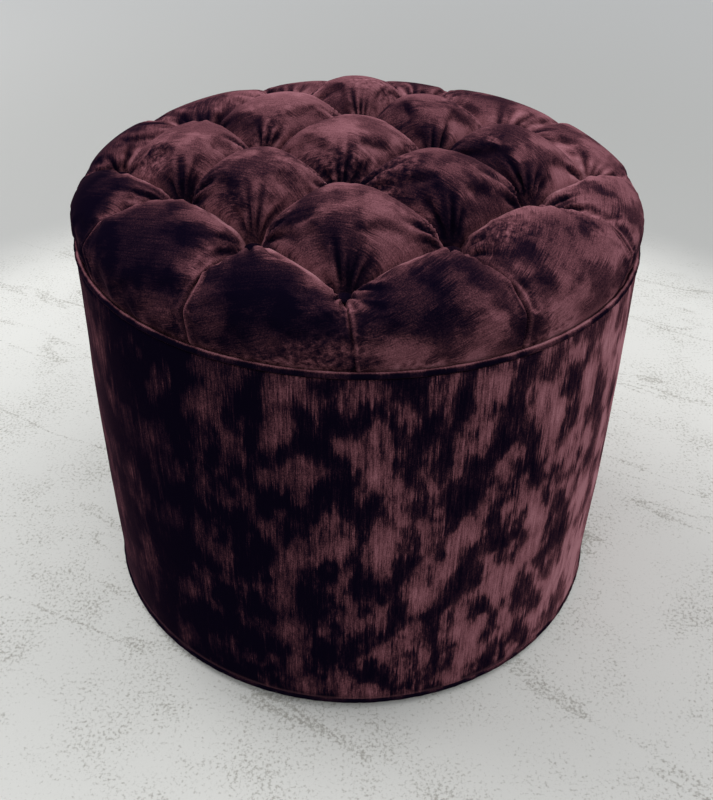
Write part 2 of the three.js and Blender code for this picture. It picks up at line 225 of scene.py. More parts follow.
def pad_profile(turn):
    """Radius and level of the pad before tufting: a superellipse from the crown at a turn
    of 0 to the bulge at a quarter circle, then a quarter of an ellipse in to the foot."""
    share = np.sin(np.minimum(turn, QUARTER)) ** 2
    radius = pad_radius * share ** (1 / shoulder_power)
    level = bulge_level + (crown_level - bulge_level) * (1 - share) ** (1 / crown_power)
    below = np.clip((turn - QUARTER) / foot_turn, 0, 1) * QUARTER
    under = turn > QUARTER
    radius = np.where(under, pad_radius - foot_inset * (1 - np.cos(below)), radius)
    level = np.where(under, pad_foot + (bulge_level - pad_foot) * (1 - np.sin(below)), level)
    return radius, level


def turn_at(radius):
    """The turn at which the profile has a radius."""
    return np.arcsin(np.minimum(1, (radius / pad_radius) ** (shoulder_power / 2)))


def near_fold(share):
    """1 in a fold, 0 in the middle of a puff, along a rounded superellipse."""
    return 1 - np.sqrt(1 - np.minimum(1, np.abs(2 * share - 1) ** puff_power))


def pad_point(angle, turn, share, lift=0):
    """A point below the profile by a share of the pad's height there, less a lift: straight
    down at the crown, level at the side."""
    radius, level = pad_profile(turn)
    depth = share * (level - pad_foot) - lift
    inward = np.sin(np.minimum(turn, QUARTER)) ** turn_power
    size = np.hypot(inward, 1 - inward)
    out = radius - depth * inward / size
    down = level - depth * (1 - inward) / size
    return np.stack([out * np.cos(angle), out * np.sin(angle), down], axis=-1)


def button_plan(row, column):
    """Places in plan from rows and columns that run at 45 degrees to the X axis, with the
    drift of the four buttons round each place shared out along straight lines."""
    along = (row - last_row / 2) * cell_side
    across = (column - last_row / 2) * cell_side
    low = np.clip(np.floor(row), 0, last_row - 1).astype(int)
    left = np.clip(np.floor(column), 0, last_row - 1).astype(int)
    near, far = (
        mixed(button_drift[i, left], button_drift[i, left + 1], column - left)
        for i in (low, low + 1)
    )
    drift = mixed(near, far, row - low)
    return (along - across) / np.sqrt(2) + drift, (along + across) / np.sqrt(2)


def shares(count, crowding, both=True):
    """Steps from 0 to 1 that crowd towards both ends, or towards 0 alone."""
    even = np.linspace(0, 1, count + 1)
    crowded = (1 - np.cos(np.pi * even)) / 2 if both else 1 - np.cos(QUARTER * even)
    return mixed(even, crowded, crowding)


def leaning(share, lean):
    """Moves the middle of a puff to one side and leaves its folds where they are."""
    return share + lean * np.sin(np.pi * share) ** 2


def puff_share(across, along):
    """Depth of the tufting as a share of the pad's height, from the nearness to two folds:
    the fold's own share along them, and the pit's where they meet."""
    fold = across + along - across * along
    return fold_share * fold + (pit_share - fold_share) * across * along


def cell_puff(row, column, steps, seed):
    """A diamond puff: rows run along the rows of buttons and columns across them. Its
    middle leans a little to one side and stands up to a lift higher."""
    most_lean, most_lift = 0.05, 1.5 * MM
    chance = np.random.default_rng(seed)
    s, t = np.meshgrid(shares(steps, 0.5), shares(steps, 0.5), indexing="ij")
    x, y = button_plan(row + s, column + t)
    lean_s, lean_t = chance.uniform(-most_lean, most_lean, 2)
    across = near_fold(leaning(s, lean_s))
    along = near_fold(leaning(t, lean_t))
    lift = chance.uniform(0, most_lift) * (1 - across) * (1 - along)
    angle = np.arctan2(y, x)
    grid = pad_point(angle, turn_at(np.hypot(x, y)), puff_share(across, along), lift)
    return grid, s * cell_side, t * cell_side, across + along - across * along


# The outer buttons, from the front one on to the right, and by how many millimetres the
# outer puffs at the back stand lower
rim_rows = [(i, 0) for i in range(last_row)] + [(last_row, i) for i in range(last_row)]
rim_rows += [(last_row - row, last_row - column) for row, column in rim_rows]
rim_plans = [button_plan(*place) for place in rim_rows]
rim_step = FULL / len(rim_plans)
rim_start = -QUARTER
rim_sag = {4: 2, 5: 3, 6: 3, 7: 3}


def rim_puff(index, steps, deep_steps, seed):
    """An outer puff: rows run from the buttons down to the foot, columns from pleat to
    pleat. The pleats swing out to their place at the foot within the upper third."""
    most_lean = 0.04
    chance = np.random.default_rng(seed)
    t, s = np.meshgrid(shares(deep_steps, 0.6, False), shares(steps, 0.5), indexing="ij")
    following = (index + 1) % len(rim_plans)
    x = mixed(rim_plans[index][0], rim_plans[following][0], s)
    y = mixed(rim_plans[index][1], rim_plans[following][1], s)
    foot_angle = rim_start + (index + s) * rim_step
    plan_angle = np.arctan2(y, x)
    plan_angle = plan_angle + np.round((foot_angle - plan_angle) / FULL) * FULL
    angle = mixed(plan_angle, foot_angle, 1 - (1 - t) ** 2)
    turn = mixed(turn_at(np.hypot(x, y)), QUARTER + foot_turn, t)
    pleat = near_fold(leaning(s, chance.uniform(-most_lean, most_lean)))
    top = near_fold(np.minimum(t, 0.5))
    fade = (1 - t) ** mixed(pleat_fade[index], pleat_fade[following], s)
    fold = pleat * fade + top - pleat * fade * top
    share = fold_share * fold + (pit_share - fold_share) * pleat * top
    lift = (chance.uniform(0, 1) - rim_sag.get(index, 0)) * MM
    lift = lift * (1 - pleat) * (1 - top) * smooth_step(1 - t, 0, 0.5)
    grid = pad_point(angle, turn, share, lift)
    width = mixed(cell_side, pad_radius * rim_step, smooth_step(t, 0, 0.6))
    foot = smooth_step(t, 0.72, 0.98)
    fold = 1 - (1 - pleat * (1 - t)) * (1 - top) * (1 - foot)
    return grid, t * rim_length, s * width, fold


# Gathers in each corner of a puff: how many, and in millimetres how far and how deep
gather_count = (3, 6)
gather_reach = (30, 56)
gather_depth = (2.4, 4.4)
gather_stray = 0.2
gather_bend = 0.1
bend_length = 50 * MM
gather_width_share = 0.095
gather_least_width = 1.5 * MM
bank_breadth = 1.6
gather_deepest = 4.2 * MM

# Wrinkles beside a fold: in millimetres how far off, how wavy and how soon they fade
wrinkle_places = (5.0, 9.5, 14.5)
wrinkle_wave = (9, 16)
wrinkle_fade = (14, 30)
wrinkle_strength = (0.5, 1.1)
wrinkle_wander = 1.1 * MM
wrinkle_width = 1.3 * MM
wrinkle_depth = 1.2 * MM


def creases(distance, turn, seed):
    """Gathers that run out of a pit over a puff: narrow valleys between low banks, each the
    square of the way off its line, less 1, times a bell curve, up to a reach of its own.
    turn goes from 0 to 1 between the two folds."""
    chance = np.random.default_rng(seed)
    count = int(chance.integers(*gather_count))
    total = np.zeros_like(distance)
    for place in range(count):
        middle = (place + 0.5 + chance.uniform(-gather_stray, gather_stray)) / count
        bend = chance.uniform(-gather_bend, gather_bend)
        reach = chance.uniform(*gather_reach) * MM
        depth = chance.uniform(*gather_depth) * MM
        line = middle + bend * distance / bend_length
        width = np.maximum(gather_width_share * distance, gather_least_width)
        off = (turn - line) * QUARTER * distance / width
        valley = (off**2 - 1) * np.exp(-(off**2) / bank_breadth)
        fade = smooth_step(distance, 4 * MM, 16 * MM)
        total += depth * valley * fade * (1 - smooth_step(distance, 0.3 * reach, reach))
    return np.maximum(total, -gather_deepest)


def fold_lines(from_fold, along, seed):
    """Up to three wrinkles beside a fold: wavy valleys between banks, strongest near its
    pits but not in them."""
    chance = np.random.default_rng(seed)
    total = np.zeros_like(from_fold)
    clear = smooth_step(np.hypot(from_fold, along), 11 * MM, 24 * MM)
    for place in wrinkle_places[: int(chance.integers(1, 4))]:
        wave = chance.uniform(*wrinkle_wave) * MM
        wander = wrinkle_wander * np.sin(along / wave + chance.uniform(0, 6))
        off = (from_fold - place * MM - wander) / wrinkle_width
        fade = np.exp(-along / (chance.uniform(*wrinkle_fade) * MM))
        strength = wrinkle_depth * chance.uniform(*wrinkle_strength)
        total += strength * (off**2 - 1) * np.exp(-(off**2)) * fade
    return total * clear


def relief(first, second, sizes, open_end, seed):
    """Height of all the creases of one puff. first and second are the distances from its
    first edges, and sizes the full lengths; an open end has no fold."""
    corners, near_seed, beside_seed = 16, 5000, 9000
    total = np.zeros_like(first)
    ends = [first] if open_end else [first, sizes[0] - first]
    for i, near in enumerate(ends):
        for j, beside in enumerate((second, sizes[1] - second)):
            key = seed * corners + i * 2 + j
            distance = np.hypot(near, beside)
            total += creases(distance, np.arctan2(near, beside) / QUARTER, key)
            total += fold_lines(near, beside, key + near_seed)
            total += fold_lines(beside, near, key + beside_seed)
    edge = np.minimum(second, sizes[1] - second)
    for near in ends:
        edge = np.minimum(edge, near)
    return total * smooth_step(edge, 0, 3 * MM)


def twice_as_fine(count):
    """Weights that put a smooth curve's points between count + 1 given ones: a cubic through
    the four nearest, and a parabola at both ends."""
    between_four = (-0.0625, 0.5625, 0.5625, -0.0625)
    beside_end = (0.375, 0.75, -0.125)
    weights = np.zeros((2 * count + 1, count + 1))
    weights[np.arange(0, 2 * count + 1, 2), np.arange(count + 1)] = 1
    for i in range(count):
        row = weights[2 * i + 1]
        if i == 0:
            row[:3] = beside_end
        elif i == count - 1:
            row[-3:] = beside_end[::-1]
        else:
            row[i - 1 : i + 3] = between_four
    return weights


# Slack velvet under air pressure, and how far it may fill out, in millimetres
cloth_settings = {
    "quality": 6, "mass": 0.15, "tension_stiffness": 12, "compression_stiffness": 6,
    "shear_stiffness": 3, "bending_stiffness": 0.06, "shrink_min": -0.05,
    "use_pressure": True, "uniform_pressure_force": 4, "vertex_group_mass": "held",
}
fill_frames = 24
fill_at_side = 2.5
fill_at_crown = 6
most_buckling = 0.4 * MM


def filled_out(grids):
    """Lets air pressure fill a slack cloth held along its folds and foot, and gives the
    movement of every grid point: capped, and brought back where the cloth buckled in."""
    points, quads, place = joined(grids)
    mesh = bpy.data.meshes.new("slack velvet")
    mesh.from_pydata(points.tolist(), [], place[quads].tolist())
    cloth_object = bpy.data.objects.new("slack velvet", mesh)
    scene = bpy.context.scene
    scene.collection.objects.link(cloth_object)
    edges = []
    for grid in grids:
        edge = np.ones(grid.shape[:2], bool)
        edge[1:-1, 1:-1] = False
        edges.append(edge.reshape(-1))
    held = np.unique(place[np.concatenate(edges)])
    group = cloth_object.vertex_groups.new(name="held")
    group.add(held.tolist(), 1.0, "REPLACE")
    cloth = cloth_object.modifiers.new("fill", "CLOTH")
    for name, value in cloth_settings.items():
        setattr(cloth.settings, name, value)
    cloth.settings.effector_weights.gravity = 0
    cloth.point_cache.frame_start = 1
    cloth.point_cache.frame_end = fill_frames
    for step in range(fill_frames):
        scene.frame_set(step + 1)
    filled = cloth_object.evaluated_get(bpy.context.evaluated_depsgraph_get())
    moved = np.empty(len(points) * 3)
    filled.data.vertices.foreach_get("co", moved)
    scene.frame_set(1)
    bpy.data.objects.remove(cloth_object)
    bpy.data.meshes.remove(mesh)
    move = moved.reshape(-1, 3) - points
    normals = facing(points, place[quads])
    outward = np.sum(move * normals, axis=1, keepdims=True)
    move += normals * np.maximum(0, -most_buckling - outward)
    crown = smooth_step(points[:, 2:], bulge_level, bulge_level + 30 * MM)
    most = mixed(fill_at_side, fill_at_crown, crown) * MM
    length = np.linalg.norm(move, axis=1, keepdims=True)
    move *= np.minimum(1, most / np.maximum(length, 1e-9))
    move *= smooth_step(points[:, 2:], pad_foot, pad_foot + 9 * MM)
    return move[place]


def pad_grids(steps, deep_steps):
    """The diamond puffs and then the outer ones: grids, distances over them in both
    directions, and how near each point is to a fold."""
    cells = [
        cell_puff(*divmod(i, last_row), steps, cell_seed + i) for i in range(cell_count)
    ]
    rims = [rim_puff(i, steps, deep_steps, rim_seed + i) for i in range(len(rim_plans))]
    return cells + rims


def way_out(points, normals):
    """Unit ways out of the pad: the normals above the bulge, and more and more level towards
    the foot, so that every layer's foot stands at the same height."""
    level = points * (1, 1, 0)
    level /= np.maximum(np.linalg.norm(level, axis=1, keepdims=True), 1e-9)
    share = smooth_step(points[:, 2:], pad_foot, bulge_level)
    way = mixed(level, normals, share)
    return way / np.linalg.norm(way, axis=1, keepdims=True)


def painted_edge_highlights(first, second, sizes, open_end):
    """Painted highlight lines just inside the folds: along the two far edges of a diamond
    puff, and along the top and one pleat of an outer one."""
    inside, width = 4 * MM, 2.4 * MM
    if open_end:
        pleat = hump(second, 2.2 * MM, 1.2 * MM)
        return hump(first, inside, width) + pleat * smooth_step(first, 20 * MM, 50 * MM)
    return hump(sizes[0] - first, inside, width) + hump(sizes[1] - second, inside, width)


def pleat_groove(first, second, width):
    """A narrow groove along both pleats of an outer puff, with one bank."""
    side = np.minimum(second, width - second)
    groove = hump(side, 0, 1.4 * MM) * 1.5
    bank = hump(second, 3.2 * MM, 2 * MM) * 0.5
    reach = smooth_step(first, 30 * MM, 60 * MM)
    return MM * (bank - groove) * reach * (1 - smooth_step(first, 140 * MM, rim_length))


def tufted_velvet():
    """The grids of the pad's velvet, filled out and creased, those of the wadding's top,
    which follows its valleys, the puffs' distances, and the painted shade and highlight of
    the creases and fold edges."""
    wadding_gap = 3.2 * MM
    puffs = pad_grids(puff_steps, rim_steps)
    grids = [puff[0] for puff in puffs]
    slack = [puff[0] for puff in pad_grids(puff_steps // 2, rim_steps // 2)]
    fine = twice_as_fine(puff_steps // 2)
    deep = twice_as_fine(rim_steps // 2)
    for i, move in enumerate(cut_up(filled_out(slack), slack)):
        down = fine if i < cell_count else deep
        grids[i] = grids[i] + np.einsum("ab,bcx,dc->adx", down, move, fine)
    points, quads, place = joined([puff[0] for puff in puffs])
    ways = cut_up(way_out(points, facing(points, place[quads]))[place], grids)
    points, quads, place = joined(grids)
    normals = cut_up(facing(points, place[quads])[place], grids)
    finished = []
    beneath = []
    painted_crease_marks = []
    for i, (slack, first, second, _) in enumerate(puffs):
        open_end = i >= cell_count
        size = (cell_side, cell_side)
        if open_end:
            size = (rim_length, second.max(axis=1, keepdims=True))
        height = relief(first, second, size, open_end, i)
        if open_end:
            height = height * (1 - smooth_step(first, 110 * MM, rim_length))
            height = height + pleat_groove(first, second, size[1])
        sunk = np.minimum(height, 0) - wadding_gap
        # Painted shade in the crease valleys, and painted highlight on their banks and along the
        # fold edges
        painted_crease_marks.append(height / (3 * MM) + painted_edge_highlights(first, second, size, open_end))
        finished.append(grids[i] + normals[i] * height[..., None])
        beneath.append(slack + ways[i] * sunk[..., None])
    return finished, beneath, puffs, painted_crease_marks


def foot_ring(grids):
    """The points along the foot of the outer puffs, the first one again at the end."""
    ring = np.concatenate([grid[-1, :-1] for grid in grids[cell_count:]])
    return np.concatenate([ring, ring[:1]])


def closing_disc(grids):
    """A level disc from the foot to the middle, facing down: shares of the foot's radius."""
    ring = foot_ring(grids)
    inward = np.array([1, 0.99, 0.95, 0.8, 0.5, 0.2, 0])[:, None, None]
    inward = inward * np.ones((len(ring), 1))
    return ring[None] * np.concatenate([inward, inward, np.ones_like(inward)], axis=-1)


def set_in(grids, depth):
    """The surface moved in by a depth."""
    points, quads, place = joined(grids)
    moved = points - depth * way_out(points, facing(points, place[quads]))
    return cut_up(moved[place], grids)


def round_the_buttons(grid, buttons):
    """Opens a round well in each pit: a point that stands beside a button, higher than its
    back, is pushed out to the button's edge by the fourth-power mean of the two radii."""
    edge = button_radius - 1.5 * MM
    for x, y, back in buttons:
        off = grid[..., :2] - (x, y)
        distance = np.maximum(np.linalg.norm(off, axis=-1), 1e-7)
        pushed = (distance**4 + edge**4) ** 0.25
        above = smooth_step(grid[..., 2], back - 3 * MM, back + 1 * MM)
        near = 1 - smooth_step(distance, 14 * MM, 26 * MM)
        push = mixed(distance, pushed, above * near) / distance
        grid = np.concatenate([off * push[..., None] + (x, y), grid[..., 2:]], axis=-1)
    return grid


# Materials


class Wire:
    """A shader socket. Sums, differences and products of wires and numbers add their Math
    nodes."""

    def __init__(self, finish, socket):
        self.finish = finish
        self.socket = socket

    def maths(self, operation, first, second):
        return self.finish.node("ShaderNodeMath", {"operation": operation}, {0: first, 1: second})

    def __add__(self, other):
        return self.maths("ADD", self, other)

    def __sub__(self, other):
        return self.maths("SUBTRACT", self, other)

    def __rsub__(self, other):
        return self.maths("SUBTRACT", other, self)

    def __mul__(self, other):
        return self.maths("MULTIPLY", self, other)

    __radd__ = __add__
    __rmul__ = __mul__


class Finish:
    """A material being made. node adds any node, its settings first and then the values or
    wires of its sockets, and gives back the wire of one output."""

    def __init__(self, name):
        self.material = bpy.data.materials.new(name)
        self.material.use_nodes = True
        self.tree = self.material.node_tree
        self.surface = self.tree.nodes["Principled BSDF"]

    def put(self, socket, value):
        if isinstance(value, Wire):
            self.tree.links.new(value.socket, socket)
        elif isinstance(value, (tuple, list)) and len(socket.default_value) == 4:
            socket.default_value = (*value[:3], 1.0)
        else:
            socket.default_value = value

    def node(self, kind, settings, values, output=0):
        added = self.tree.nodes.new(kind)
        for name, setting in settings.items():
            if name == "stops":
                ramp = added.color_ramp
                while len(ramp.elements) < len(setting):
                    ramp.elements.new(0.5)
                for element, (place, colour) in zip(ramp.elements, setting):
                    element.position = place
                    element.color = (*colour, 1.0)
            else:
                setattr(added, name, setting)
        for name, value in values.items():
            self.put(added.inputs[name], value)
        return Wire(self, added.outputs[output])

    def finish(self, **values):
        for name, value in values.items():
            self.put(self.surface.inputs[name.replace("_", " ").title()], value)
        return self.material

    def place(self):
        return self.node("ShaderNodeTexCoord", {}, {}, "Object")

    def mark(self, name):
        return self.node("ShaderNodeAttribute", {"attribute_name": name}, {}, "Fac")

    def stretched(self, vector, x, y, z):
        settings = {"operation": "MULTIPLY"}
        return self.node("ShaderNodeVectorMath", settings, {0: vector, 1: (x, y, z)})

    def moved(self, vector, offset):
        return self.node("ShaderNodeVectorMath", {"operation": "ADD"}, {0: vector, 1: offset})

    def parts(self, vector):
        split = self.node("ShaderNodeSeparateXYZ", {}, {"Vector": vector})
        return [Wire(self, output) for output in split.socket.node.outputs]

    def vector(self, x, y, z):
        return self.node("ShaderNodeCombineXYZ", {}, {"X": x, "Y": y, "Z": z})

    def noise(self, vector, scale, detail=2.0, roughness=0.5, distortion=0.0):
        values = {"Vector": vector, "Scale": scale, "Detail": detail}
        values.update({"Roughness": roughness, "Distortion": distortion})
        return self.node("ShaderNodeTexNoise", {}, values)

    def between(self, value, low, high, to_low=0.0, to_high=1.0):
        """Takes a range to another along a smooth cubic."""
        values = {"Value": value, "From Min": low, "From Max": high}
        values.update({"To Min": to_low, "To Max": to_high})
        return self.node("ShaderNodeMapRange", {"interpolation_type": "SMOOTHSTEP"}, values)

    def mix(self, share, first, second):
        settings = {"data_type": "RGBA", "clamp_factor": True}
        return self.node("ShaderNodeMix", settings, {0: share, 6: first, 7: second}, 2)

    def bump(self, height, strength, distance):
        values = {"Height": height, "Strength": strength, "Distance": distance}
        return self.node("ShaderNodeBump", {}, values)


# Velvet: the colours of its tone, from pile that stands up to pile that lies over, and from
# painted shade to painted light
velvet_stops = [
    (0.24, (0.0030, 0.0018, 0.0068)),
    (0.38, (0.0110, 0.0048, 0.0110)),
    (0.50, (0.0420, 0.0152, 0.0222)),
    (0.63, (0.1250, 0.0460, 0.0570)),
    (0.80, (0.2400, 0.0960, 0.1150)),
    (1.00, (0.3600, 0.1650, 0.1900)),
]

# Lines, hairs and strokes that comb it: repeats in a metre across and along the nap, then
# the slice of the noise, its detail and its roughness
combing = (
    (680.0, 22.0, 0.0, 3.0, 0.65),
    (1500.0, 110.0, 3.0, 1.0, 0.5),
    (240.0, 14.0, 5.0, 2.0, 0.6),
)
nap_stretch = 0.56
line_shift = 0.008
ragged_edge = (0.014, 0.012, 0.010)

# What each thing adds to the tone
hair_share = 0.7
stroke_share = 1.8
small_patch_share = 0.4
combed_edge_share = 0.35
cloud_share = 0.3
pile_share = 0.45
# Painted highlight along the folds, and painted shade and highlight in and beside the creases
painted_fold_highlight = 0.22
painted_crease_share = 0.19


def velvet(name, nap_led, blotch, depth, crisp, streak, lift, lean, painted_light_share, pebbles=0.0):
    """Crushed velvet. The pile lies in patches, dark where it stands up and mauve where it
    lies over, with edges combed along the nap. The tone is the sum of the patches, clouds,
    combing, pile, marks that hold the pile's brushing together with painted light and shade,
    the painted light of the leans, and lift.

    nap_led patches follow the nap, and others the object. blotch is the patches' scale,
    depth their strength, crisp that of their edges, streak that of the combing, lift the
    tone's middle, lean the painted light that lightens the tone to the right and back, the
    facing share the painted light and shade by how far the surface faces the light, and
    pebbles the strength of the small crushed dimples."""
    make = Finish(name)
    across, along, _ = make.parts(make.node("ShaderNodeUVMap", {"uv_map": "nap"}, {}))
    line, hair, stroke = (
        make.noise(make.vector(across * wide, along * long, cut), 1.0, detail, roughness) - 0.5
        for wide, long, cut, detail, roughness in combing
    )
    place = make.place()
    if nap_led:
        patch_place = make.vector(across, along * nap_stretch + line * line_shift, 0.0)
        patch_detail, patch_roughness = 2.5, 0.5
    else:
        ragged = make.vector(*(part * far for part, far in zip((line, hair, line), ragged_edge)))
        patch_place = make.moved(place, ragged)
        patch_detail, patch_roughness = 4.5, 0.6
    patch = make.noise(patch_place, blotch, patch_detail, patch_roughness, distortion=0.15)
    small = make.noise(make.moved(patch_place, (3.0, 1.0, 7.0)), blotch * 2.4)
    clouds = make.noise(place, 6.0, detail=1.0)
    pile = make.noise(place, 950.0, roughness=0.6)
    dimples = make.noise(place, 210.0)
    crushed = make.between(make.noise(place, 11.0, detail=1.0), 0.56, 0.66)
    x, y, _ = make.parts(place)

    combed = (line + hair * hair_share + stroke * streak * stroke_share) * streak
    blend = patch + (small - 0.5) * small_patch_share
    laid_over = make.between(blend + combed * combed_edge_share, 0.44, 0.57)
    patched = (blend - 0.5) * depth + (laid_over - 0.5) * crisp
    # Painted light: the leans lighten the tone to the right and back, and strengthen the patches
    # to the right
    tone = patched * (x * lean[0] + 1.0) + (clouds - 0.5) * cloud_share + combed
    tone = tone + (pile - 0.5) * pile_share + x * lean[0] + y * lean[1] + lift
    # Painted highlight along the folds and crease banks, painted shade in the crease valleys and
    # round the pits, painted sheen at the drum's sides, and the pile's brushed tone
    fold = make.mark("fold")
    tone = tone + fold * painted_fold_highlight + make.mark("ridge") * painted_crease_share + make.mark("brushed")
    # Painted light and shade: lighter where the surface faces the light and darker where it faces
    # away, less so in the folds
    painted_facing_light = make.between(make.mark("slope"), 0.0, 0.95)
    tone = tone + (painted_facing_light - 0.5) * (1.0 - fold * 0.4) * painted_light_share
    tone = tone + (dimples - 0.5) * crushed * pebbles
    colour = make.node("ShaderNodeValToRGB", {"stops": velvet_stops}, {"Fac": tone})
    grain = line * 0.3 + hair * 0.3 + pile * 0.4 + dimples * crushed * 1.6
    fixed = {
        "Sheen Weight": 0.12, "Sheen Roughness": 0.22, "Sheen Tint": (0.55, 0.24, 0.30),
        "Specular IOR Level": 0.0,
    }
    for socket, value in fixed.items():
        make.put(make.surface.inputs[socket], value)
    return make.finish(base_color=colour, roughness=0.8, normal=make.bump(grain, 0.4, 0.0008))


def wood(name, pale, dark, along_grain, plies):
    """Wood: noise drawn out along one axis. Plywood has darker lines between its plies."""
    ply_thickness = 0.00164
    make = Finish(name)
    place = make.place()
    figure = make.noise(make.stretched(place, *along_grain), 9.0, 4.0, 0.6, 0.6)
    pores = make.noise(make.stretched(place, *(value * 9 for value in along_grain)), 14.0, 2.0)
    _, _, up = make.parts(place)
    share = make.between(figure + (pores - 0.5) * 0.4, 0.35, 0.68)
    if plies:
        fold_back = {0: up, 1: ply_thickness}
        layer = make.node("ShaderNodeMath", {"operation": "PINGPONG"}, fold_back)
        share = share * 0.6 + make.between(layer, 0.0001, 0.0005, 0.0, 0.4)
    colour = make.mix(share, dark, pale)
    return make.finish(
        base_color=colour, roughness=make.between(figure, 0.3, 0.7, 0.6, 0.8),
        normal=make.bump(pores + figure, 0.25, 0.0004),
    )


def felt(name, pale, dark, size, depth, roughness=0.95):
    """Matted or open stuff: clumps, finer strands, and a bump of both."""
    make = Finish(name)
    place = make.place()
    clumps = make.noise(place, size, 4.0, 0.65, 0.4)
    strands = make.noise(make.moved(place, (2.0, 5.0, 1.0)), size * 7, 3.0, 0.6, 1.2)
    share = make.between(clumps + (strands - 0.5) * 0.7, 0.32, 0.66)
    return make.finish(
        base_color=make.mix(share, dark, pale), roughness=roughness,
        normal=make.bump(clumps + strands, 0.5, depth),
    )


def lining_cloth(name):
    """Black non-woven lining with the small pressed dots that bond it."""
    make = Finish(name)
    place = make.place()
    spread = {"Vector": place, "Scale": 520.0, "Randomness": 0.3}
    dots = make.node("ShaderNodeTexVoronoi", {}, spread)
    strands = make.noise(place, 1500.0, 3.0, 0.6, 1.5)
    dust = make.noise(place, 18.0, 4.0, 0.6)
    pressed = make.between(dots, 0.12, 0.35)
    share = pressed * 0.4 + strands * 0.3 + make.between(dust, 0.5, 0.75, 0.0, 0.3)
    return make.finish(
        base_color=make.mix(share, (0.006, 0.006, 0.007), (0.030, 0.029, 0.030)),
        roughness=0.85, normal=make.bump(pressed + strands * 0.4, 0.5, 0.0002),
    )


def twisted(name):
    """Waxed cotton twine: strands wound round its upright run."""
    make = Finish(name)
    place = make.place()
    x, y, up = make.parts(place)
    lay = make.node("ShaderNodeMath", {"operation": "SINE"}, {0: up * 2600.0 + (x + y) * 900.0})
    fibres = make.noise(place, 1900.0, 2.0, 0.6)
    share = make.between(lay * 0.35 + fibres, 0.2, 0.9)
    return make.finish(
        base_color=make.mix(share, (0.30, 0.24, 0.14), (0.68, 0.60, 0.44)), roughness=0.85,
        normal=make.bump(lay * 0.5 + fibres, 0.5, 0.0003),
    )


def moulded(name):
    """Black nylon, slightly frosted by its mould, with scuffs where it has slid."""
    make = Finish(name)
    place = make.place()
    frost = make.noise(place, 2600.0, 2.0, 0.6)
    scuffs = make.noise(make.stretched(place, 1.0, 5.0, 1.0), 160.0, 3.0, 0.6)
    worn = make.between(scuffs, 0.58, 0.72)
    return make.finish(
        base_color=make.mix(worn, (0.010, 0.010, 0.011), (0.050, 0.049, 0.048)),
        roughness=make.between(scuffs, 0.4, 0.7, 0.35, 0.6), normal=make.bump(frost, 0.2, 0.0001),
    )


def zinc_steel(name):
    """Bright zinc plate on steel, cloudy and finely scratched."""
    make = Finish(name)
    place = make.place()
    cloud = make.noise(place, 90.0, 4.0, 0.6)
    scratches = make.noise(make.stretched(place, 1.0, 1.0, 12.0), 900.0, 2.0, 0.6)
    return make.finish(
        base_color=make.mix(cloud, (0.42, 0.43, 0.44), (0.66, 0.67, 0.68)), metallic=1.0,
        roughness=make.between(cloud + (scratches - 0.5) * 0.5, 0.3, 0.7, 0.25, 0.5),
        normal=make.bump(scratches, 0.2, 0.0001),
    )


# Each velvet's leans and facing share paint light and shade into its tone; the drum's strong lean
# darkens its left side as painted shade
pad_velvet = velvet(
    "pad velvet", nap_led=False, blotch=17.0, depth=0.33, crisp=0.13, streak=0.21, lift=0.53,
    lean=(0.30, 0.22), painted_light_share=0.28, pebbles=0.7,
)
drum_velvet = velvet(
    "drum velvet", nap_led=True, blotch=31.0, depth=0.80, crisp=0.14, streak=0.46, lift=0.415,
    lean=(0.95, 0.10), painted_light_share=0.0,
)
piping_velvet = velvet(
    "piping velvet", nap_led=True, blotch=28.0, depth=0.6, crisp=0.12, streak=0.20, lift=0.35,
    lean=(0.30, 0.10), painted_light_share=0.10,
)
# Buttons in a darker velvet as painted shade, so that they sink into the dark pits
button_velvet_in_painted_shade = velvet(
    "button velvet in painted shade", nap_led=True, blotch=40.0, depth=0.3, crisp=0.06, streak=0.20, lift=0.34,
    lean=(0.20, 0.10), painted_light_share=0.05,
)
wadding_finish = felt("wadding fibre", (0.80, 0.79, 0.75), (0.62, 0.60, 0.55), 60.0, 0.002)
foam_finish = felt("foam", (0.78, 0.70, 0.44), (0.50, 0.42, 0.22), 420.0, 0.001)
lining_finish = lining_cloth("lining")


# Pad velvet

# How much each puff's tone is raised or lowered, at its top and towards its foot, partly as
# its pile was brushed over and partly as painted light: the diamond puffs by their rows
# first, then the outer ones from the front right on round by the back
brushed_over_and_painted_light = [
    (0.02, 0.02), (0, 0), (0.14, 0.14), (-0.17, -0.17), (0.04, 0.04), (0.18, 0.18),
    (-0.15, -0.15), (-0.12, -0.12), (0.14, 0.14), (-0.21, 0.20), (-0.24, 0.22),
    (-0.20, 0.09), (-0.20, -0.20), (-0.20, -0.20), (-0.15, -0.15), (-0.10, -0.10),
    (-0.14, -0.14), (-0.12, -0.12), (-0.26, -0.12), (-0.26, 0.08), (-0.14, 0.04),
]
painted_pit_shade = 0.16


def brushed_pile_and_pit_shade(index, first, second, fold):
    """How far the pile of a puff lies over, with painted light, from top to foot: fading out
    to the folds, and darkened round the pits as painted shade."""
    outer = index >= cell_count
    side = np.minimum(second, second.max(axis=1, keepdims=True) - second)
    middle = 1 - fold
    end = np.minimum(first, cell_side - first)
    if outer:
        middle = smooth_step(first, 0, 30 * MM) * smooth_step(side, 0, 26 * MM)
        end = first
    shade = painted_pit_shade * (1 - smooth_step(np.hypot(side, end), 8 * MM, 28 * MM))
    top, foot = brushed_over_and_painted_light[index]
    return middle * mixed(top, foot, smooth_step(first, 30 * MM, 105 * MM)) - shade


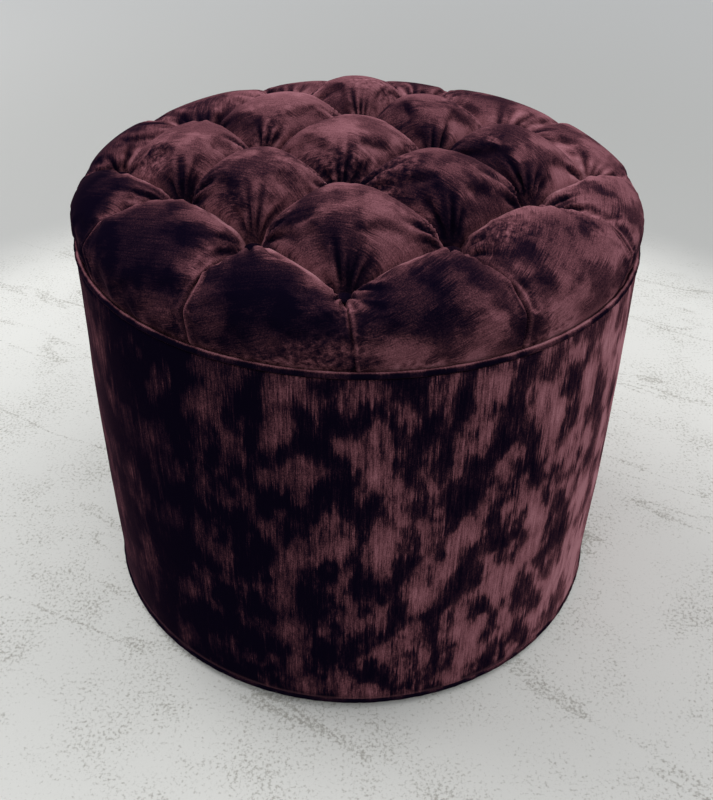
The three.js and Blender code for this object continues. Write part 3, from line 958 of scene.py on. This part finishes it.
def pad_nap(index, first, second):
    """Where a puff's points lie in the nap: the distances turned to a heading of its own."""
    middle, stray = (0.5, 0.15) if index >= cell_count else (0.4, 0.5)
    heading = middle + np.random.default_rng(nap_seed + index).uniform(-stray, stray)
    across = first * np.cos(heading) + second * np.sin(heading)
    along = second * np.cos(heading) - first * np.sin(heading)
    return np.stack([across + index * 0.7, along + index * 0.3], axis=-1)


button_nodes = sorted(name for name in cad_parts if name.startswith("button_"))
buttons = []
for node in button_nodes:
    low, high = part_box(node)
    buttons.append(((low.x + high.x) / 2, (low.y + high.y) / 2, high.z - button_rise))

pad_surface, wadding_top, puffs, painted_crease_marks = tufted_velvet()
pad_surface = [round_the_buttons(grid, buttons) for grid in pad_surface]
wadding_top = [round_the_buttons(grid, buttons) for grid in wadding_top]
naps = [pad_nap(i, puff[1], puff[2]) for i, puff in enumerate(puffs)]
# Each puff's brushed tone with painted light, and painted shade round the pits
lies = [brushed_pile_and_pit_shade(i, *puff[1:]) for i, puff in enumerate(puffs)]
folds = [puff[3] for puff in puffs]
underside = closing_disc(pad_surface)
none = np.zeros(underside.shape[:2])
pad = piece(
    "pad_velvet", pad_surface + [underside], pad_velvet, {"nap": naps + [underside[..., :2]]},
    {"fold": folds + [none], "ridge": painted_crease_marks + [none], "brushed": lies + [none]},
)
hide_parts("pad_cover")

# Wadding and foam under the velvet
wadding_depth = 10.2 * MM
foam_depth = 10.7 * MM
foam_steps = (20, 24)
coarse = [puff[0] for puff in pad_grids(puff_steps, rim_steps // 2)]
wadding_under = set_in(coarse, wadding_depth)
foam_top = set_in([puff[0] for puff in pad_grids(*foam_steps)], foam_depth)
hem = np.stack([foot_ring(wadding_top), foot_ring(wadding_under)])
linings = [np.swapaxes(grid, 0, 1) for grid in wadding_under]
wadding = piece("pad_wadding_layer", wadding_top + [hem] + linings, wadding_finish)
foam = piece("pad_foam_block", foam_top + [closing_disc(foam_top)], foam_finish)
for layer, node, slot in ((wadding, "pad_wadding", "wadding"), (foam, "foam_pad", "foam")):
    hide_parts(node)

# Buttons
rim_height = 1.6 * MM
shank_radius = 2 * MM
shank_gap = 0.2 * MM
back_share = 0.8
button_sides = 36
turn = np.linspace(0, QUARTER, 12)
for node, (x, y, back) in zip(button_nodes, buttons):
    rim = back + rim_height
    dome = zip(button_radius * np.cos(turn), rim + (back + button_rise - rim) * np.sin(turn))
    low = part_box(node)[0].z
    shank = [(0, low), (shank_radius, low), (shank_radius, back - shank_gap)]
    outline = shank + [(button_radius * back_share, back)] + list(dome)
    grid = turned(outline, button_sides) + (x, y, 0)
    button = piece(node + "_velvet", [grid], button_velvet_in_painted_shade, {"nap": [grid[..., :2]]})
    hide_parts(node)

# Drum velvet and its wadding


def skin_radius(level):
    """Radius of the drum's velvet: straight below, and drawn in along a parabola above."""
    share = np.maximum(0, (level - frame_top + draw_in_drop) / draw_in_drop)
    return drum_radius - drum_draw_in * share * share


def seam_groove(around):
    """Depth of the sewn seam at the back, with its two low banks, by the distance round."""
    off = np.abs(around - QUARTER * drum_radius)
    return MM * (0.5 * hump(off, 3 * MM, 1.8 * MM) - 1.1 * hump(off, 0, 1.1 * MM))


drum_sides, drum_rows = 1080, 60
wadding_sides, wadding_rows = 180, 30
layer_gap = 0.9 * MM
layer_thickness = 5 * MM
soft_wave = 0.35 * MM
held_edge = 30 * MM
levels = np.linspace(skin_bottom, frame_top, drum_rows + 1)
outside = np.stack([skin_radius(levels), levels], axis=-1)
inside = np.stack([skin_radius(levels) - velvet_thickness, levels], axis=-1)[::-10]
outline = np.concatenate([outside, inside, outside[:1]])
around = np.linspace(0, FULL * drum_radius, drum_sides + 1)[:, None]
up = outline[None, :, 1] + 0 * around
plan_x = drum_radius * np.cos(around / drum_radius) + 0 * up
plan_y = drum_radius * np.sin(around / drum_radius) + 0 * up
soft = waves(plan_x, up, seed=31, count=5, longest=0.30, shortest=0.06)
soft = soft + waves(plan_y, up, seed=32, count=5, longest=0.26, shortest=0.05)
held = smooth_step(up, skin_bottom, skin_bottom + held_edge)
held = held * (1 - smooth_step(up, frame_top - held_edge, frame_top))
on_outside = np.concatenate([np.ones(len(outside)), np.zeros(len(inside)), [1]])
ripple = (soft_wave * soft * held + seam_groove(around) * held**0.25) * on_outside
ripple[-1] = ripple[0]
drum_nap = np.stack([around + 0 * up, up], axis=-1)
drum_grid = turned(outline, drum_sides, ripple)

# Painted light: a painted sheen lightens the drum's sides, and painted shade darkens its left
# front a little
to_right = drum_grid[..., 0]
left_painted_sheen = smooth_step(-to_right, 165 * MM, 245 * MM)
right_painted_sheen = smooth_step(to_right, 140 * MM, 235 * MM)
left_front_painted_shade = 1 - smooth_step(to_right, -60 * MM, 30 * MM)
edges = 0.22 * left_painted_sheen + 0.13 * right_painted_sheen - 0.02 * left_front_painted_shade
drum = piece("drum_velvet", [drum_grid], drum_velvet, {"nap": [drum_nap]}, {"brushed": [edges]})
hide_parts("drum_cover")

low, high = (corner.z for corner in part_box("drum_wadding"))
levels = np.linspace(low, high, wadding_rows + 1)
around = np.linspace(0, FULL * drum_radius, wadding_sides + 1)[:, None]
fluff = waves(around, levels[None], seed=51, count=8, longest=0.1, shortest=0.01) * soft_wave
fluff[-1] = fluff[0]
skin = skin_radius(levels) - velvet_thickness - layer_gap
loop = np.concatenate([
    np.stack([skin, levels], axis=-1),
    np.stack([skin - layer_thickness, levels], axis=-1)[::-1],
    [(skin[0], levels[0])],
])
depth = np.concatenate([fluff, np.zeros(fluff.shape), fluff[:, :1]], axis=1)
drum_layer = piece("drum_wadding_layer", [turned(loop, wadding_sides, depth)], wadding_finish)
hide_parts("drum_wadding")

# Dust cover: lining stretched under the base, sagging a little in the ring's opening
low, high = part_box("dust_cover")
lining_radius = high.x
opening_radius = 0.62 * lining_radius
deepest_sag = 2.2 * MM
radii = np.linspace(0, lining_radius, 41)
sag = deepest_sag * smooth_step(opening_radius - radii, 0, opening_radius)
lower = np.stack([radii, low.z - sag], axis=-1)
upper = np.stack([radii, high.z - sag], axis=-1)[::-1]
lining_grid = turned(np.concatenate([lower, upper]), wadding_sides)
lining = piece("dust_cover_lining", [lining_grid], lining_finish)
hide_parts("dust_cover")

# Piping


def piping(name, node, outer, level, painted_edge_light):
    """A covered cord with a flat tongue: an arc from the bottom of the cord to the top of
    the tongue, carried round the drum, wavering and puckered by sums of sine waves.
    The edge light is the strength of the painted highlight along the upper edge."""
    middle = outer - piping_radius
    meets = np.pi + np.arcsin((piping_radius - tongue_thickness) / piping_radius)
    arc_points = 22
    angle = np.linspace(-QUARTER, meets, arc_points)
    arc_radius = middle + piping_radius * np.cos(angle)
    arc = np.stack([arc_radius, level + piping_radius * np.sin(angle)], axis=-1)
    end = middle - tongue_width
    under = level - piping_radius
    outline = np.concatenate([arc, [(end, under + tongue_thickness), (end, under)], arc[:1]])
    sides = 1440
    around = np.linspace(0, FULL, sides + 1)[:, None]
    way, level_way = around * drum_radius, 0 * around
    waver = waves(way, level_way, seed=9, count=6, longest=0.2, shortest=0.02) * 0.22 * MM
    pucker = waves(way, level_way, seed=10, count=5, longest=0.016, shortest=0.005) * 0.16 * MM
    waver = waver + pucker
    waver[-1] = waver[0]
    weight = np.concatenate([np.ones(arc_points), [0, 0, 1]])
    over = np.arange(len(weight)) * 0.8 * MM + 0 * around
    nap = np.stack([way + 0 * weight, over], axis=-1)
    # Painted highlight along the piping's upper edge
    painted_top_highlight = painted_edge_light * hump(over, 9.4 * MM, 1.3 * MM)
    grid = turned(outline, sides, waver * weight)
    made = piece(name, [grid], piping_velvet, {"nap": [nap]}, {"ridge": [painted_top_highlight]})
    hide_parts(node)


piping("top_piping_velvet", "top_piping", top_piping_outer, top_piping_level, painted_edge_light=2.2)
piping("base_piping_velvet", "base_piping", base_piping_outer, base_piping_level, painted_edge_light=0.6)

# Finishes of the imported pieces, by how their names start
finishes = {
    "post_": wood("pine", (0.70, 0.50, 0.28), (0.50, 0.30, 0.14), (9.0, 9.0, 0.8), False),
    ("top_board", "base_ring"): wood(
        "plywood", (0.62, 0.45, 0.26), (0.36, 0.22, 0.11), (1.0, 9.0, 1.0), True
    ),
    ("drum_panel", "tack_strip"): felt(
        "card", (0.36, 0.25, 0.15), (0.22, 0.145, 0.085), 150.0, 0.0003, roughness=0.8
    ),
    ("top_screw", "base_screw"): zinc_steel("zinc plated steel"),
    ("drum_wadding", "pad_wadding"): wadding_finish,
    "foam_pad": foam_finish,
    "dust_cover": lining_finish,
    "glide": moulded("nylon"),
    "twine": twisted("twine"),
    ("pad_cover", "drum_cover", "button"): pad_velvet,
    ("top_piping", "base_piping"): piping_velvet,
}
for name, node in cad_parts.items():
    finish = next(finish for starts, finish in finishes.items() if name.startswith(starts))
    node.data.materials.clear()
    node.data.materials.append(finish)

# Floor


def floor_paint(name):
    """Pale paint, worn through in specks, denser in places and along faint scored lines,
    under clouds and grit, and turning to the plain backdrop further off."""
    make = Finish(name)
    place = make.place()
    x, y, _ = make.parts(place)
    away = make.node("ShaderNodeVectorMath", {"operation": "LENGTH"}, {0: place}, "Value")
    specks = make.noise(place, 300.0, 4.0, 0.75)
    worn = make.noise(place, 9.0, 5.0, 0.7)
    clouds = make.noise(place, 2.2, 3.0)
    grit = make.noise(place, 700.0, 3.0, 0.7)
    drawn = make.vector(x * 2.4 + y * 4.0, y * 0.9 - x * 0.5, 0.0)
    course = make.noise(drawn, 1.0, 4.0, 0.6) - 0.5
    scored = make.between(course * course, 0.0, 0.0001, 0.07, 0.0)
    wear = make.between(specks + (worn - 0.5) * 0.5 - scored, 0.31, 0.48)
    colour = make.mix(wear, (0.29, 0.275, 0.24), (0.66, 0.655, 0.625))
    layers = (
        (clouds * 0.3, (0.72, 0.72, 0.69)),
        ((grit - 0.35) * 0.5, (0.55, 0.54, 0.50)),
        (make.between(away, 0.70, 0.92), (0.40, 0.40, 0.387)),
        (make.between(away, 1.0, 3.6), (0.72, 0.72, 0.71)),
    )
    for share, over in layers:
        colour = make.mix(share, colour, over)
    return make.finish(base_color=colour, roughness=0.8)


floor_reach = 8
floor_mesh = bpy.data.meshes.new("floor")
corners = [(x * floor_reach, y * floor_reach, 0) for x, y in ((-1, -1), (1, -1), (1, 1), (-1, 1))]
floor_mesh.from_pydata(corners, [], [(0, 1, 2, 3)])
floor_mesh.materials.append(floor_paint("pale floor"))
floor = bpy.data.objects.new("floor", floor_mesh)
bpy.context.scene.collection.objects.link(floor)

# Light


def soft_lamp(name, place, target, width, power):
    """A square soft lamp that faces a target."""
    data = bpy.data.lights.new(name, "AREA")
    data.shape = "SQUARE"
    data.size = width
    data.energy = power
    lamp = bpy.data.objects.new(name, data)
    turn = (Vector(place) - Vector(target)).to_track_quat("Z", "Y").to_matrix()
    lamp.matrix_world = Matrix.Translation(place) @ turn.to_4x4()
    bpy.context.scene.collection.objects.link(lamp)


soft_lamp("right lamp", (1.7, 0.4, 2.0), (0, 0, 0.3), width=1.8, power=25)
soft_lamp("left back lamp", (-1.7, 0.9, 2.1), (-0.3, 0, 0.2), width=1.8, power=45)
soft_lamp("front fill", (0.3, -2.0, 2.2), (0, -0.3, 0.1), width=2.0, power=15)

world = bpy.data.worlds.new("room")
bpy.context.scene.world = world
world.use_nodes = True
room = world.node_tree.nodes["Background"]
room.inputs["Color"].default_value = (0.93, 0.96, 1.0, 1.0)
room.inputs["Strength"].default_value = 0.55

# Camera
camera_data = bpy.data.cameras.new("camera")
camera_data.lens = camera_lens
camera_data.sensor_width = camera_sensor
camera_data.shift_x = camera_shift
camera = bpy.data.objects.new("camera", camera_data)
camera.matrix_world = (
    Matrix.Translation((0, -camera_back, camera_height))
    @ Matrix.Rotation(QUARTER - camera_pitch, 4, "X")
    @ Matrix.Rotation(camera_roll, 4, "Z")
)
bpy.context.scene.collection.objects.link(camera)
bpy.context.scene.camera = camera
bpy.context.scene.view_settings.view_transform = "Standard"
